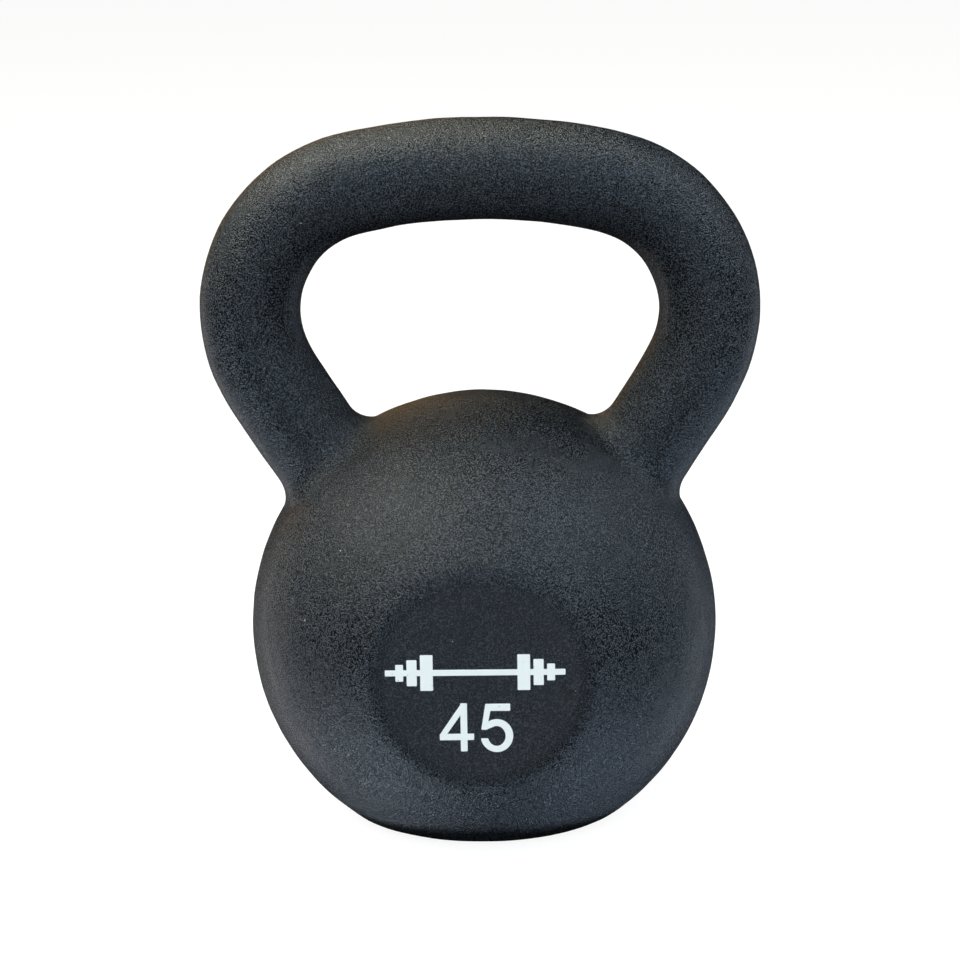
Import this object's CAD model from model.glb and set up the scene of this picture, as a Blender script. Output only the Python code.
import math

import bpy
import numpy as np
from mathutils import Matrix, Vector


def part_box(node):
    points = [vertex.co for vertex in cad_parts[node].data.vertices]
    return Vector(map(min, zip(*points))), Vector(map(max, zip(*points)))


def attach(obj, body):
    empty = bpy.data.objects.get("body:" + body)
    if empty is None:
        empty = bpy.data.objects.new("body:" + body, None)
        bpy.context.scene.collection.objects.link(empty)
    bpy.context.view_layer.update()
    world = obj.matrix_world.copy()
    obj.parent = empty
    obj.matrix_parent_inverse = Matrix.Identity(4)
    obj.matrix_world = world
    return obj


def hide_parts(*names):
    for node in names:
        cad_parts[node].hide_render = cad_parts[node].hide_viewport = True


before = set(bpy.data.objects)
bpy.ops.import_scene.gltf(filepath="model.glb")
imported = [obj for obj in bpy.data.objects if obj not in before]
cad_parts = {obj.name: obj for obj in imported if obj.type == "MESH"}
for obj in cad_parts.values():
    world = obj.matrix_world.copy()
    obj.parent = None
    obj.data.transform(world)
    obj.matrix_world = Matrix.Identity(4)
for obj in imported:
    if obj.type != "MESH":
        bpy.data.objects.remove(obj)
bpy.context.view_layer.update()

coatLow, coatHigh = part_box("powder_coat")
print("frame loaded:", ", ".join(sorted(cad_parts)))

scene = bpy.context.scene
scene.view_settings.view_transform = "Standard"


ball = {
    "radius": 0.086,  # measured over the coat
    "height": 0.0712,  # the centre over the floor
    "flatBlend": 0.0020,  # depth over which the front and back flats round into the ball
    "newtonSteps": 8,
    "nearTurn": 1e-6,  # radians short of a half turn, where a tangent would have no end
}

bar = {
    "radius": 0.0185,
    "archRadius": 0.212,  # the shallow arch that the hand holds
    "archHalf": 0.0465,
    "bendRadius": 0.048,  # the side bend down to the straight horn
    "bendEnd": 0.1387,
    "archEase": 0.008,
    "hornEase": 0.030,
    "length": 0.190,
    "step": 0.00025,
    "fillet": 0.0107,  # where a horn runs into the ball
}

ripple = {  # the slow unevenness of a sand casting
    "waves": 26,
    "longest": 0.030,
    "shortest": 0.006,
    "slope": 0.0075,  # of each wave
    "onFlats": 0.35,
    "seed": 45,
}

flatDepth = coatHigh.y
gripRise = coatHigh.z - ball["height"] - bar["radius"]
ballCentre = np.array([0.0, 0.0, ball["height"]])


def ease(value):
    # 3 v^2 - 2 v^3, from 0 to 1
    value = np.clip(value, 0.0, 1.0)
    return value * value * (3.0 - 2.0 * value)


def barLine():
    # curvature along the bar is 1/arch, then 1/bend, then 0, eased between; summed once it is
    # the heading, and the heading's cosine and sine summed again are x and z
    length = np.arange(0.0, bar["length"], bar["step"])
    intoBend = ease((length - bar["archHalf"]) / bar["archEase"] + 0.5)
    outOfBend = ease((length - bar["bendEnd"]) / bar["hornEase"] + 0.5)
    arch, bend = 1.0 / bar["archRadius"], 1.0 / bar["bendRadius"]
    curvature = arch + (bend - arch) * intoBend - bend * outOfBend
    heading = np.concatenate([[0.0], np.cumsum(curvature[:-1]) * bar["step"]])
    x = np.concatenate([[0.0], np.cumsum(np.cos(heading[:-1])) * bar["step"]])
    z = gripRise - np.concatenate([[0.0], np.cumsum(np.sin(heading[:-1])) * bar["step"]])
    return length, x, z, heading


def barPoints(line, along, turn, radius):
    # middle line + radius * (cos(turn) * in-plane normal + sin(turn) * Y)
    length, x, z, heading = line
    angle = np.interp(along, length, heading)
    out = np.stack([np.sin(angle) * np.cos(turn), np.sin(turn), np.cos(angle) * np.cos(turn)], -1)
    middle = np.stack([np.interp(along, length, x), 0.0 * along, np.interp(along, length, z)], -1)
    return middle + np.asarray(radius)[..., None] * out, out


def filletContact(line, turn, radius, swell):
    # the length along the bar where a ball of the fillet's radius touches bar and ball at once:
    # its centre is bar radius + fillet from the middle line and ball radius + fillet from 0
    length = line[0]
    along, turns = np.meshgrid(length, turn, indexing="ij")
    points, _ = barPoints(line, along, turns, bar["radius"] + swell + radius)
    gap = np.linalg.norm(points, axis=-1) - (ball["radius"] + swell + radius)
    inside = np.argmax(gap < 0.0, axis=0)
    column = np.arange(len(turn))
    before, after = gap[inside - 1, column], gap[inside, column]
    return length[inside - 1] + bar["step"] * before / (before - after)


def sweepBetween(start, end, share):
    # (start * sin((1 - share) * angle) + end * sin(share * angle)) / sin(angle)
    angle = np.arccos(np.clip(np.sum(start * end, axis=-1, keepdims=True), -1.0, 1.0))
    return (start * np.sin((1.0 - share) * angle) + end * np.sin(share * angle)) / np.sin(angle)


def ballDirections(foot, steps):
    # (s - a) / (s + a) on the sphere's plane turns both horns' feet into circles about 0 and
    # infinity; rings keep a share of the foot's logarithm, spaced evenly down the lower side
    tilt = math.acos(np.mean(foot[:, 2]) / np.linalg.norm(np.mean(foot, axis=0)))
    pole = math.tan(tilt / 2.0)
    flat = (foot[:, 0] + 1j * foot[:, 1]) / (1.0 + foot[:, 2])
    ratio = (flat - pole) / (flat + pole)
    lowest = 2.0 * math.atan(abs(flat[0]))
    lowAngle = lowest + (math.pi - lowest) * np.arange(1, steps + 1) / steps
    lowFlat = np.tan(np.minimum(lowAngle, math.pi - ball["nearTurn"]) / 2.0)
    shares = np.log((lowFlat - pole) / (lowFlat + pole)) / math.log(abs(ratio[0]))
    shares[-1] = 0.0
    shares = np.concatenate([shares, -shares[-2::-1]])[:, None]
    spread = 1.0 + (pole - 1.0) * (1.0 - shares * shares)
    turn = np.angle(ratio)[None, :]
    turn = 2.0 * np.arctan2(spread * np.sin(turn / 2.0), np.cos(turn / 2.0))
    ring = np.exp(shares * np.log(np.abs(ratio))[None, :] + 1j * turn)
    top, bottom = pole * (1.0 + ring), 1.0 - ring
    size = np.abs(top) ** 2 + np.abs(bottom) ** 2
    across = 2.0 * top * np.conj(bottom) / size
    up = (np.abs(bottom) ** 2 - np.abs(top) ** 2) / size
    return np.stack([across.real, across.imag, up], axis=-1)


def roundedMost(first, second, blend):
    # the greater of two distances, plus (blend - their difference)^2 / (4 blend) where they
    # differ by less than blend, and the second one's share in it
    near = np.maximum(blend - np.abs(first - second), 0.0)
    share = np.clip(0.5 + (second - first) / (2.0 * blend), 0.0, 1.0)
    return np.maximum(first, second) + near * near / (4.0 * blend), share


def flattenedBall(directions, swell, baseDepth, baseBlend):
    # along each direction, the point where the rounded greatest of the distances past the
    # ball, past the flats and past the base is nought, found by Newton's steps
    reach = np.full(directions.shape[:-1], ball["radius"] + swell)
    side = np.sign(directions[..., 1])
    for _ in range(ball["newtonSteps"]):
        past = reach - ball["radius"] - swell
        pastFlat = reach * np.abs(directions[..., 1]) - flatDepth - swell
        pastBase = -reach * directions[..., 2] - baseDepth
        both, flatShare = roundedMost(past, pastFlat, ball["flatBlend"])
        every, baseShare = roundedMost(both, pastBase, baseBlend)
        normal = (1.0 - flatShare)[..., None] * directions
        normal[..., 1] += flatShare * side
        normal = normal * (1.0 - baseShare)[..., None]
        normal[..., 2] -= baseShare
        reach = reach - every / np.sum(normal * directions, axis=-1)
    normal = normal / np.linalg.norm(normal, axis=-1, keepdims=True)
    return directions * reach[..., None], normal, flatShare, baseShare


def rippled(points, normals, amount):
    # height = sum of small sine waves in random directions; normals lean by its gradient
    dice = np.random.default_rng(ripple["seed"])
    ways = dice.normal(size=(ripple["waves"], 3))
    ways = ways / np.linalg.norm(ways, axis=1, keepdims=True)
    spread = dice.random(ripple["waves"])
    wavelengths = ripple["shortest"] * (ripple["longest"] / ripple["shortest"]) ** spread
    phases = dice.random(ripple["waves"]) * 2.0 * math.pi
    height = np.zeros(points.shape[:-1])
    lean = np.zeros(points.shape)
    for way, wavelength, phase in zip(ways, wavelengths, phases):
        pace = 2.0 * math.pi / wavelength
        angle = points @ (pace * way) + phase
        height += ripple["slope"] / pace * np.sin(angle)
        lean += ripple["slope"] * np.cos(angle)[..., None] * way
    lean -= np.sum(lean * normals, axis=-1, keepdims=True) * normals
    points = points + (amount * height)[..., None] * normals
    normals = normals - amount[..., None] * lean
    return points, normals / np.linalg.norm(normals, axis=-1, keepdims=True)


def castingGrid(swell, baseDepth, baseBlend, around, handleRings, filletRings, ballRings):
    # closed rings, one after another, through the grip, a horn, the ball and the other horn
    line = barLine()
    turn = 2.0 * math.pi * np.arange(around) / around
    radius = bar["fillet"] - swell
    contact = filletContact(line, turn, radius, swell)

    share = np.arange(handleRings + 1)[:, None] / handleRings
    handle, handleOut = barPoints(line, share * contact, turn + 0.0 * share, bar["radius"] + swell)

    centre, out = barPoints(line, contact, turn, bar["radius"] + swell + radius)
    inward = -centre / np.linalg.norm(centre, axis=-1, keepdims=True)
    share = np.arange(1, filletRings + 1)[:, None, None] / filletRings
    blendOut = sweepBetween(-out[None], inward[None], share)
    blend = centre + radius * blendOut

    directions = ballDirections(-inward, ballRings)
    body, bodyOut, flatShare, baseShare = flattenedBall(directions, swell, baseDepth, baseBlend)

    mirror = np.array([-1.0, 1.0, 1.0])
    points = np.concatenate([handle, blend, body, mirror * blend[::-1], mirror * handle[:0:-1]])
    normals = np.concatenate(
        [handleOut, -blendOut, bodyOut, -mirror * blendOut[::-1], mirror * handleOut[:0:-1]]
    )
    plain = np.zeros((len(handle) + len(blend), around))
    flats = np.concatenate([plain, flatShare, plain[1:]])
    base = np.concatenate([plain, baseShare, plain[1:]])
    amount = (1.0 - flats * (1.0 - ripple["onFlats"])) * (1.0 - base)
    points, normals = rippled(points, normals, amount)
    return points + ballCentre, normals, flats


def addGrid(name, points, normals, attributes):
    # a grid that closes both ways, as quads, with its worked-out normals
    rings, around = points.shape[:2]
    index = np.arange(rings * around).reshape(rings, around)
    following = np.roll(index, -1, axis=0)
    corners = [index, following, np.roll(following, -1, axis=1), np.roll(index, -1, axis=1)]
    faces = np.stack(corners, axis=-1).reshape(-1, 4)
    mesh = bpy.data.meshes.new(name)
    mesh.from_pydata(points.reshape(-1, 3), [], faces)
    mesh.shade_smooth()
    for title, values in attributes.items():
        layer = mesh.attributes.new(title, "FLOAT", "POINT")
        layer.data.foreach_set("value", values.reshape(-1).astype(np.float32))
    mesh.normals_split_custom_set_from_vertices(normals.reshape(-1, 3))
    piece = bpy.data.objects.new(name, mesh)
    scene.collection.objects.link(piece)
    return piece


noiseMiddle = (0.3, 0.7)  # the part of a noise's values that carries its pattern
wholeRange = (0.0, 1.0)


def startMaterial(name):
    material = bpy.data.materials.new(name)
    material.use_nodes = True
    return material, material.node_tree.nodes, material.node_tree.links


def addNode(nodes, kind, **settings):
    node = nodes.new(kind)
    for title, value in settings.items():
        setattr(node, title, value)
    return node


def addNoise(nodes, links, place, look):
    noise = nodes.new("ShaderNodeTexNoise")
    noise.inputs["Scale"].default_value = look["scale"]
    noise.inputs["Detail"].default_value = look["detail"]
    links.new(place.outputs["Object"], noise.inputs["Vector"])
    return noise.outputs["Fac"]


def addMath(nodes, links, operation, first, second):
    node = nodes.new("ShaderNodeMath")
    node.operation = operation
    for socket, value in zip(node.inputs, (first, second)):
        if isinstance(value, (int, float)):
            socket.default_value = value
        else:
            links.new(value, socket)
    return node.outputs["Value"]


def addRange(nodes, links, value, before, after):
    # value stretched from the pair before to the pair after, and held inside it
    node = nodes.new("ShaderNodeMapRange")
    node.inputs["From Min"].default_value, node.inputs["From Max"].default_value = before
    node.inputs["To Min"].default_value, node.inputs["To Max"].default_value = after
    links.new(value, node.inputs["Value"])
    return node.outputs["Result"]


def addBump(nodes, links, height, depth, under=None):
    bump = nodes.new("ShaderNodeBump")
    bump.inputs["Distance"].default_value = depth
    links.new(height, bump.inputs["Height"])
    if under:
        links.new(under, bump.inputs["Normal"])
    return bump.outputs["Normal"]


def addSpots(nodes, links, place, look):
    # spots round random points, 1 in the middle and 0 outside, and each spot's own random number
    cells = nodes.new("ShaderNodeTexVoronoi")
    cells.inputs["Scale"].default_value = look["scale"]
    links.new(place.outputs["Object"], cells.inputs["Vector"])
    lot = nodes.new("ShaderNodeSeparateColor")
    links.new(cells.outputs["Color"], lot.inputs["Color"])
    return addRange(nodes, links, cells.outputs["Distance"], look["edge"], (1.0, 0.0)), lot.outputs["Red"]


def addMix(nodes, links, share, first, second):
    node = nodes.new("ShaderNodeMix")
    node.data_type = "RGBA"
    links.new(share, node.inputs["Factor"])
    for title, value in (("A", first), ("B", second)):
        sockets = [s for s in node.inputs if s.name == title and s.type == "RGBA"]
        if isinstance(value, tuple):
            sockets[0].default_value = (*value, 1.0)
        else:
            links.new(value, sockets[0])
    return [s for s in node.outputs if s.type == "RGBA"][0]


coatFinish = {
    "valley": (0.0018, 0.0021, 0.0027),  # between the grains
    "hill": (0.0375, 0.0430, 0.0500),
    "warmHill": (0.0405, 0.0435, 0.0455),
    "flatColour": (0.0098, 0.0114, 0.0139),
    "peel": {"scale": 2000.0, "detail": 0.0, "depth": 0.00040},
    "swell": {"scale": 420.0, "detail": 1.0, "depth": 0.00012},
    "patch": {"scale": 45.0, "detail": 4.0},
    "hue": {"scale": 14.0, "detail": 1.0},
    "hillLevels": (0.505, 0.60),  # of the peel, from valley colour to hill colour
    "warmLevels": (0.38, 0.62),  # of the hue, from hill colour to warm hill colour
    "flatStart": (0.2, 1.0),  # share of a flat over which the texture fades
    "flatTexture": 0.55,  # how much of the texture is left on the flats
    "pits": {"scale": 95.0, "edge": (0.035, 0.10), "where": (0.56, 0.66), "depth": 0.00020},
    "glints": {"scale": 300.0, "edge": (0.05, 0.11), "rare": (0.991, 0.993)},
    "glintColour": (0.42, 0.38, 0.30),
    "roughness": (0.18, 0.30),
    "specular": 0.22,
}


def coatMaterial():
    material, nodes, links = startMaterial("texturedCoat")
    shader = nodes["Principled BSDF"]
    place = nodes.new("ShaderNodeTexCoord")
    flats = addNode(nodes, "ShaderNodeAttribute", attribute_name="flats").outputs["Fac"]
    texture = addRange(nodes, links, flats, coatFinish["flatStart"], (1.0, coatFinish["flatTexture"]))
    peel, swell, patch, hue = [
        addNoise(nodes, links, place, coatFinish[name]) for name in ("peel", "swell", "patch", "hue")
    ]

    pit, _ = addSpots(nodes, links, place, coatFinish["pits"])
    pitted = addRange(nodes, links, patch, coatFinish["pits"]["where"], wholeRange)
    pit = addMath(nodes, links, "MULTIPLY", addMath(nodes, links, "MULTIPLY", pit, pitted), texture)
    pit = addMath(nodes, links, "SUBTRACT", 1.0, pit)
    lumps = addMath(nodes, links, "MULTIPLY", peel, texture)
    slow = addMath(nodes, links, "MULTIPLY", swell, texture)
    normal = addBump(nodes, links, lumps, coatFinish["peel"]["depth"])
    normal = addBump(nodes, links, slow, coatFinish["swell"]["depth"], normal)
    normal = addBump(nodes, links, pit, coatFinish["pits"]["depth"], normal)
    links.new(normal, shader.inputs["Normal"])

    hills = addRange(nodes, links, peel, coatFinish["hillLevels"], wholeRange)
    warm = addRange(nodes, links, hue, coatFinish["warmLevels"], wholeRange)
    hillColour = addMix(nodes, links, warm, coatFinish["hill"], coatFinish["warmHill"])
    colour = addMix(nodes, links, hills, coatFinish["valley"], hillColour)
    smooth = addMath(nodes, links, "MULTIPLY", flats, 1.0 - coatFinish["flatTexture"])
    colour = addMix(nodes, links, smooth, colour, coatFinish["flatColour"])
    glint, lot = addSpots(nodes, links, place, coatFinish["glints"])
    chosen = addRange(nodes, links, lot, coatFinish["glints"]["rare"], wholeRange)
    glint = addMath(nodes, links, "MULTIPLY", glint, chosen)
    colour = addMix(nodes, links, glint, colour, coatFinish["glintColour"])
    links.new(colour, shader.inputs["Base Color"])
    rough = addRange(nodes, links, patch, noiseMiddle, coatFinish["roughness"])
    links.new(rough, shader.inputs["Roughness"])
    shader.inputs["Specular IOR Level"].default_value = coatFinish["specular"]
    return material


ironFinish = {
    "colour": (0.20, 0.20, 0.205),
    "darker": (0.09, 0.085, 0.08),
    "stain": {"scale": 60.0, "detail": 5.0},
    "stainLevels": (0.42, 0.66),
    "pores": {"scale": 900.0, "detail": 3.0},
    "turning": 620.0,  # turning marks on the base, per metre
    "distortion": 0.4,
    "metal": 0.9,
    "depth": 0.00003,
    "roughness": (0.32, 0.55),
}


def ironMaterial():
    material, nodes, links = startMaterial("turnedIron")
    shader = nodes["Principled BSDF"]
    shader.inputs["Metallic"].default_value = ironFinish["metal"]
    place = nodes.new("ShaderNodeTexCoord")
    turning = addNode(nodes, "ShaderNodeTexWave", wave_type="RINGS", rings_direction="Z")
    turning.inputs["Scale"].default_value = ironFinish["turning"]
    turning.inputs["Distortion"].default_value = ironFinish["distortion"]
    links.new(place.outputs["Object"], turning.inputs["Vector"])
    stain = addNoise(nodes, links, place, ironFinish["stain"])
    pores = addNoise(nodes, links, place, ironFinish["pores"])
    dark = addRange(nodes, links, stain, ironFinish["stainLevels"], wholeRange)
    colour = addMix(nodes, links, dark, ironFinish["colour"], ironFinish["darker"])
    links.new(colour, shader.inputs["Base Color"])
    rough = addRange(nodes, links, stain, noiseMiddle, ironFinish["roughness"])
    links.new(rough, shader.inputs["Roughness"])
    height = addMath(nodes, links, "ADD", turning.outputs["Fac"], pores)
    links.new(addBump(nodes, links, height, ironFinish["depth"]), shader.inputs["Normal"])
    return material


paintFinish = {
    "colour": (0.95, 0.90, 0.80),  # a little warm, against the blue of the front lamp
    "worn": (0.40, 0.42, 0.43),
    "specks": {"scale": 900.0, "detail": 2.0},
    "missing": (0.70, 0.76),  # of the specks, where the print has worn through
    "depth": 0.00005,
    "roughness": (0.42, 0.60),
}


def paintMaterial():
    material, nodes, links = startMaterial("whitePrint")
    shader = nodes["Principled BSDF"]
    place = nodes.new("ShaderNodeTexCoord")
    specks = addNoise(nodes, links, place, paintFinish["specks"])
    missing = addRange(nodes, links, specks, paintFinish["missing"], wholeRange)
    colour = addMix(nodes, links, missing, paintFinish["colour"], paintFinish["worn"])
    links.new(colour, shader.inputs["Base Color"])
    rough = addRange(nodes, links, specks, noiseMiddle, paintFinish["roughness"])
    links.new(rough, shader.inputs["Roughness"])
    links.new(addBump(nodes, links, specks, paintFinish["depth"]), shader.inputs["Normal"])
    return material


coat = coatMaterial()
iron = ironMaterial()
whitePaint = paintMaterial()
print("materials made")


skin = {
    "baseStep": 0.0004,  # the coat ends this far over the floor
    "baseBlend": 0.0030,
    "fineness": {"around": 256, "handleRings": 64, "filletRings": 15, "ballRings": 115},
}

points, normals, flats = castingGrid(
    0.0, ball["height"] - skin["baseStep"], skin["baseBlend"], **skin["fineness"]
)
coatSkin = addGrid("coatSkin", points, normals, {"flats": flats})
coatSkin.data.materials.append(coat)
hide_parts("powder_coat")
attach(coatSkin, "root")

body = {
    "depth": 0.0006,  # from the coat's outside down to the iron
    "baseBlend": 0.0060,
    "fineness": {"around": 160, "handleRings": 40, "filletRings": 8, "ballRings": 80},
}

points, normals, _ = castingGrid(
    -body["depth"], ball["height"], body["baseBlend"], **body["fineness"]
)
ironBody = addGrid("ironBody", points, normals, {})
ironBody.data.materials.append(iron)
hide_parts("iron_casting")
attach(ironBody, "root")
print("casting made:", len(coatSkin.data.polygons), "and", len(ironBody.data.polygons), "faces")


paint = {
    "corner": 0.00028,  # rounding of the strokes' corners
    "edge": 0.00007,  # radius of the quarter circle along each edge
    "endSteps": [0.0, 0.15, 0.5, 1.0],  # shares of the corner where sections stand near an end
    "rooted": 0.00015,  # how far the paint's back reaches into the coat
    "thickness": 0.00015,
    "step": 0.00001,  # each stroke lies this much over the one before it
    "four": {  # strokes as left edge and right edge, millimetres from the digit's lower left
        "diagonal": ([(0.0, 6.3), (7.85, 17.9)], [(2.3, 6.0), (8.6, 15.1)]),
        "upright": ([(7.42, 0.0), (7.42, 17.9)], [(9.85, 0.0), (9.85, 17.9)]),
        "crossbar": ([(0.0, 6.57), (12.2, 6.57)], [(0.0, 4.19), (12.2, 4.19)]),
    },
    "five": {  # the bowl below belongs to it too
        "flag": ([(2.0, 17.8), (10.86, 17.8)], [(2.0, 15.12), (10.86, 15.12)]),
        "stem": ([(0.485, 8.27), (2.03, 17.8)], [(2.40, 8.10), (4.36, 17.8)]),
    },
    "bowl": {
        # middle, radii, first and last angle in degrees
        "outer": ((6.01, 5.94), (5.80, 6.14), 118.0, -171.0),
        "inner": ((5.95, 5.81), (3.13, 3.70), 110.0, -167.0),
        "start": ((1.90, 10.40), (2.20, 8.15)),  # on the stem, before each of the two
        "points": 64,
    },
    "emblem": {  # half of a barbell: plates as middle x, half width and half height, millimetres
        "plates": [(17.25, 2.25, 6.6), (22.50, 1.80, 4.8), (26.90, 1.40, 3.1)],
        "barReach": 32.0,
        "barHalf": 1.1,
    },
}


def paintRibbon(left, right, thickness):
    # a strip of paint between two edges given as (x, z): every section is a flat top whose two
    # edges are quarter circles, and near an end both sides draw in by corner - the chord of a
    # circle, corner * (1 - sqrt(1 - (1 - s / corner) ** 2)), which rounds the strip's corners
    left, right = np.array(left, dtype=float), np.array(right, dtype=float)
    steps = np.linalg.norm(np.diff((left + right) / 2.0, axis=0), axis=1)
    way = np.concatenate([[0.0], np.cumsum(steps)])
    corner, edge = paint["corner"], paint["edge"]
    near = corner * np.array(paint["endSteps"])
    inner = way[(way > corner) & (way < way[-1] - corner)]
    stations = np.unique(np.concatenate([inner, near, way[-1] - near]))
    left = np.stack([np.interp(stations, way, left[:, axis]) for axis in (0, 1)], axis=-1)
    right = np.stack([np.interp(stations, way, right[:, axis]) for axis in (0, 1)], axis=-1)
    width = np.linalg.norm(right - left, axis=1, keepdims=True)
    across = (right - left) / width
    toEnd = np.clip(np.minimum(stations, way[-1] - stations) / corner, 0.0, 1.0)[:, None]
    inset = corner * (1.0 - np.sqrt(1.0 - (1.0 - toEnd) ** 2))
    bevel = edge * (1.0 - math.sqrt(0.5))
    shares = np.concatenate([inset, inset, inset + bevel, inset + edge], axis=1)
    shares = np.concatenate([shares, width - shares[:, ::-1]], axis=1)
    rise = [-paint["rooted"], thickness - edge, thickness - bevel, thickness]
    rise = np.array(rise + rise[::-1])
    flat = left[:, None] + shares[..., None] * across[:, None]
    points = np.stack([flat[..., 0], coatLow.y - rise + 0.0 * shares, flat[..., 1]], axis=-1)
    tilt = np.radians([90.0, 90.0, 45.0, 0.0, 0.0, -45.0, -90.0, -90.0])
    sideways = -across[:, None] * np.sin(tilt)[:, None]
    normals = np.stack([sideways[..., 0], -np.cos(tilt) + 0.0 * shares, sideways[..., 1]], axis=-1)
    return points, normals


def addPaint(name, strips):
    # strips of sections as one mesh: quads round each strip and a fan over each end
    everyPoint, everyNormal, faces, start = [], [], [], 0
    for points, normals in strips:
        count, around = points.shape[:2]
        index = start + np.arange(count * around).reshape(count, around)
        after = np.roll(index, -1, axis=1)
        faces += np.stack([index[:-1], after[:-1], after[1:], index[1:]], -1).reshape(-1, 4).tolist()
        firstCentre, lastCentre = start + count * around, start + count * around + 1
        faces += [(firstCentre, b, a) for a, b in zip(index[0], after[0])]
        faces += [(lastCentre, a, b) for a, b in zip(index[-1], after[-1])]
        centres = points[[0, -1]].mean(axis=1)
        outward = centres - points[[1, -2]].mean(axis=1)
        outward = outward / np.linalg.norm(outward, axis=1, keepdims=True)
        everyPoint += [points.reshape(-1, 3), centres]
        everyNormal += [normals.reshape(-1, 3), outward]
        start += count * around + 2
    mesh = bpy.data.meshes.new(name)
    mesh.from_pydata(np.concatenate(everyPoint), [], faces)
    mesh.shade_smooth()
    mesh.normals_split_custom_set_from_vertices(np.concatenate(everyNormal))
    piece = bpy.data.objects.new(name, mesh)
    scene.collection.objects.link(piece)
    mesh.materials.append(whitePaint)
    return piece


def ellipseArc(centre, radii, start, end, count):
    # centre + (radius x * cos(angle), radius z * sin(angle)), angles in degrees
    angle = np.radians(np.linspace(start, end, count))
    return np.stack([centre[0] + radii[0] * np.cos(angle), centre[1] + radii[1] * np.sin(angle)], -1)


def markStrips(strokes, corner):
    # corner + stroke in millimetres / 1000, each stroke a little higher than the one before
    strips = []
    for number, (left, right) in enumerate(strokes):
        thickness = paint["thickness"] + number * paint["step"]
        left, right = corner + 0.001 * np.array(left), corner + 0.001 * np.array(right)
        strips.append(paintRibbon(left, right, thickness))
    return strips


def placeMark(piece, node):
    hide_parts(node)
    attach(piece, "root")


low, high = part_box("painted_digit_4")
digitFour = addPaint("digitFour", markStrips(paint["four"].values(), np.array([low.x, low.z])))
placeMark(digitFour, "painted_digit_4")

low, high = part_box("painted_digit_5")
bowl = paint["bowl"]
outer, inner = [
    np.concatenate([[start], ellipseArc(*bowl[side], bowl["points"])])
    for side, start in zip(("outer", "inner"), bowl["start"])
]
strokes = [*paint["five"].values(), (outer, inner)]
digitFive = addPaint("digitFive", markStrips(strokes, np.array([low.x, low.z])))
placeMark(digitFive, "painted_digit_5")

low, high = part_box("painted_emblem")
reach, half = paint["emblem"]["barReach"], paint["emblem"]["barHalf"]
strokes = [([(-reach, half), (reach, half)], [(-reach, -half), (reach, -half)])]
for x, wide, tall in paint["emblem"]["plates"]:
    for side in (-1.0, 1.0):
        start, end = side * x - wide, side * x + wide
        strokes.append(([(start, tall), (end, tall)], [(start, -tall), (end, -tall)]))
emblem = addPaint("emblem", markStrips(strokes, np.array([low.x + high.x, low.z + high.z]) / 2.0))
placeMark(emblem, "painted_emblem")
print("marks painted")


sweep = {  # a pale floor that curves up into a wall all round
    "middle": 0.5,  # radius of the one face in the middle
    "flat": 2.5,
    "curve": 1.5,
    "height": 6.0,
    "around": 96,
    "curvePoints": 16,
    "colour": (0.140, 0.132, 0.125),
    "roughness": 0.8,
    "glow": 0.92,  # the floor's own light, which only the camera sees
    "shade": 0.060,  # radius of a hidden dark disc that keeps the low lamps off the base's edge
    "shadeDrop": 0.0004,  # how far it lies under the floor
    "shadeColour": (0.02, 0.02, 0.02),
}


def addStage(name, points, faces, colour):
    mesh = bpy.data.meshes.new(name)
    mesh.from_pydata(points, [], faces)
    mesh.shade_smooth()
    material, nodes, _ = startMaterial(name)
    nodes["Principled BSDF"].inputs["Base Color"].default_value = (*colour, 1.0)
    nodes["Principled BSDF"].inputs["Roughness"].default_value = sweep["roughness"]
    mesh.materials.append(material)
    thing = bpy.data.objects.new(name, mesh)
    scene.collection.objects.link(thing)
    return thing, nodes["Principled BSDF"]


def addFloor():
    # profile: out along the floor, a quarter circle up, then straight up, turned about Z
    angle = np.radians(np.linspace(0.0, 90.0, sweep["curvePoints"]))
    wall = sweep["flat"] + sweep["curve"]
    out = [sweep["middle"], *(sweep["flat"] + sweep["curve"] * np.sin(angle)), wall]
    up = [0.0, *(sweep["curve"] * (1.0 - np.cos(angle))), sweep["height"]]
    turn = 2.0 * math.pi * np.arange(sweep["around"]) / sweep["around"]
    circle = np.stack([np.cos(turn), np.sin(turn)], axis=-1)
    rings = [np.column_stack([radius * circle, np.full(len(turn), z)]) for radius, z in zip(out, up)]
    index = np.arange(len(rings) * len(turn)).reshape(len(rings), len(turn))
    after = np.roll(index, -1, axis=1)
    faces = np.stack([index[:-1], index[1:], after[1:], after[:-1]], axis=-1).reshape(-1, 4).tolist()
    faces.append(index[0].tolist())
    floor, shader = addStage("floor", np.concatenate(rings), faces, sweep["colour"])
    shader.inputs["Emission Color"].default_value = (1.0, 1.0, 1.0, 1.0)
    shader.inputs["Emission Strength"].default_value = sweep["glow"]
    # the lamps alone light the object, so the floor is there for the camera only
    floor.visible_diffuse = False
    floor.visible_glossy = False
    floor.visible_shadow = False
    disc = np.column_stack([sweep["shade"] * circle, np.full(len(turn), -sweep["shadeDrop"])])
    shade, _ = addStage("shade", disc, [tuple(range(len(turn)))], sweep["shadeColour"])
    shade.visible_camera = False


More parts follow.
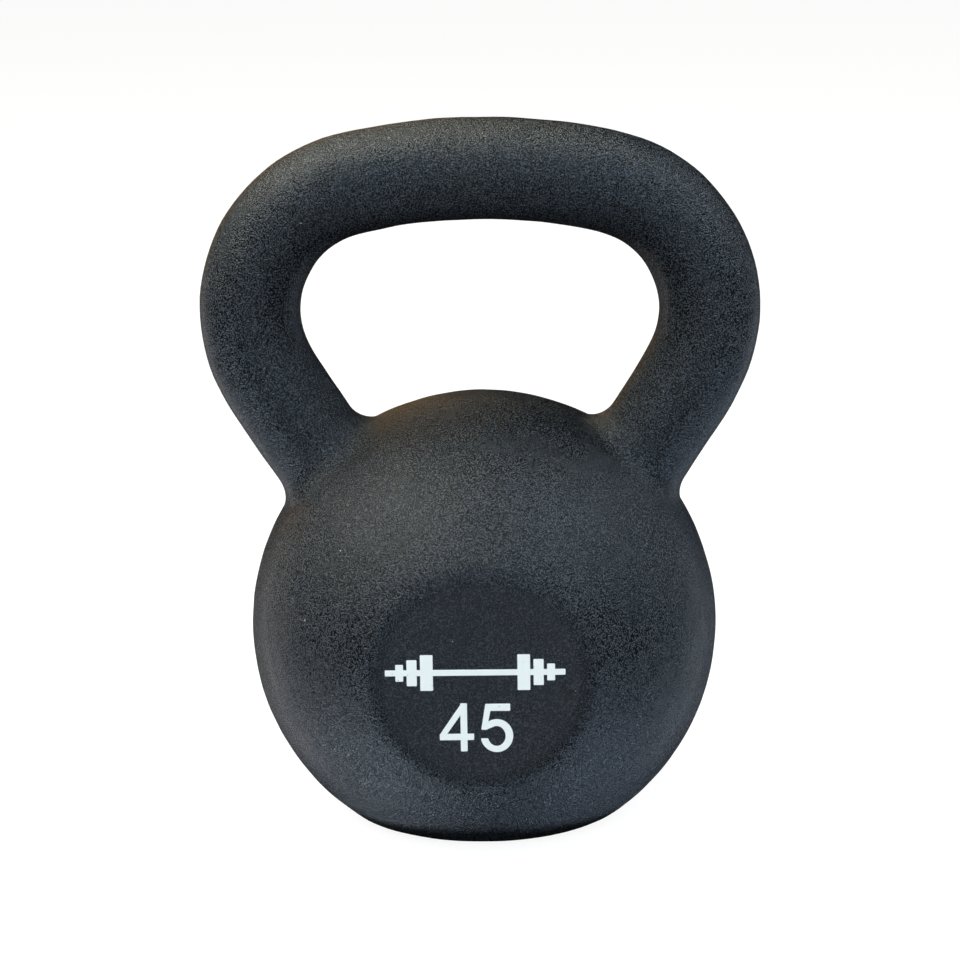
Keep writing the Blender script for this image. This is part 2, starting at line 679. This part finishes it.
studio = {
    "room": (0.01, 0.01, 0.01),
    "aim": (0.0, 0.0, 0.13),
    "distance": 1.5,
    "size": 0.9,
    # name, degrees round from the front, degrees up, watts, colour; the lamps that point up from
    # below the floor stand for the light that a pale floor sends back
    "lamps": [
        ("front", 0.0, 38.0, 21.9, (0.67, 0.84, 1.0)),
        ("left", 270.0, 38.0, 22.4, (0.97, 1.0, 0.95)),
        ("right", 90.0, 38.0, 19.0, (0.77, 0.89, 1.0)),
        ("topBackLeft", 225.0, 65.0, 23.9, (1.0, 0.97, 0.77)),
        ("lowFront", 0.0, -20.0, 6.6, (0.77, 0.87, 1.0)),
        ("lowLeft", 270.0, -55.0, 16.9, (0.72, 0.85, 1.0)),
        ("lowRight", 90.0, -55.0, 12.9, (0.60, 0.77, 1.0)),
        ("lowBackRight", 135.0, -20.0, 1.9, (0.76, 0.87, 1.0)),
        ("lowBackLeft", 225.0, -20.0, 2.1, (1.0, 0.97, 1.0)),
        ("warmBack", 200.0, 12.0, 0.8, (1.0, 0.55, 0.15)),
    ],
}


def addStudio():
    world = bpy.data.worlds.new("room")
    world.use_nodes = True
    world.node_tree.nodes["Background"].inputs["Color"].default_value = (*studio["room"], 1.0)
    scene.world = world
    for name, around, up, watts, colour in studio["lamps"]:
        lamp = bpy.data.lights.new(name, "AREA")
        lamp.shape = "SQUARE"
        lamp.size = studio["size"]
        lamp.energy = watts
        lamp.color = colour
        around, up = math.radians(around), math.radians(up)
        away = Vector((math.sin(around) * math.cos(up), -math.cos(around) * math.cos(up), math.sin(up)))
        holder = bpy.data.objects.new(name, lamp)
        holder.location = Vector(studio["aim"]) + away * studio["distance"]
        holder.rotation_euler = away.to_track_quat("Z", "Y").to_euler()
        scene.collection.objects.link(holder)


view = {
    "distance": 1.5000,
    "pivot": (0.0, 0.0, 0.0400),  # from the ball's centre
    "elevation": 14.7,
    "turn": 1.0,
    "roll": -0.85,
    "lens": 152.0,  # millimetres, like the sensor
    "sensor": 36.0,
    "farthest": 20.0,
    "shift": (-0.0029, 0.0380),
}


def addCamera():
    data = bpy.data.cameras.new("camera")
    data.lens = view["lens"]
    data.sensor_width = view["sensor"]
    data.shift_x, data.shift_y = view["shift"]
    data.clip_end = view["farthest"]
    camera = bpy.data.objects.new("camera", data)
    up, turn = math.radians(view["elevation"]), math.radians(view["turn"])
    back = Vector((math.sin(turn) * math.cos(up), -math.cos(turn) * math.cos(up), math.sin(up)))
    pivot = Vector(view["pivot"]) + Vector(ballCentre)
    turned = back.to_track_quat("Z", "Y").to_matrix().to_4x4()
    roll = Matrix.Rotation(math.radians(view["roll"]), 4, "Z")
    camera.matrix_world = Matrix.Translation(pivot + back * view["distance"]) @ turned @ roll
    scene.collection.objects.link(camera)
    scene.camera = camera


addFloor()
addStudio()
addCamera()
print("stage, lamps and camera made")
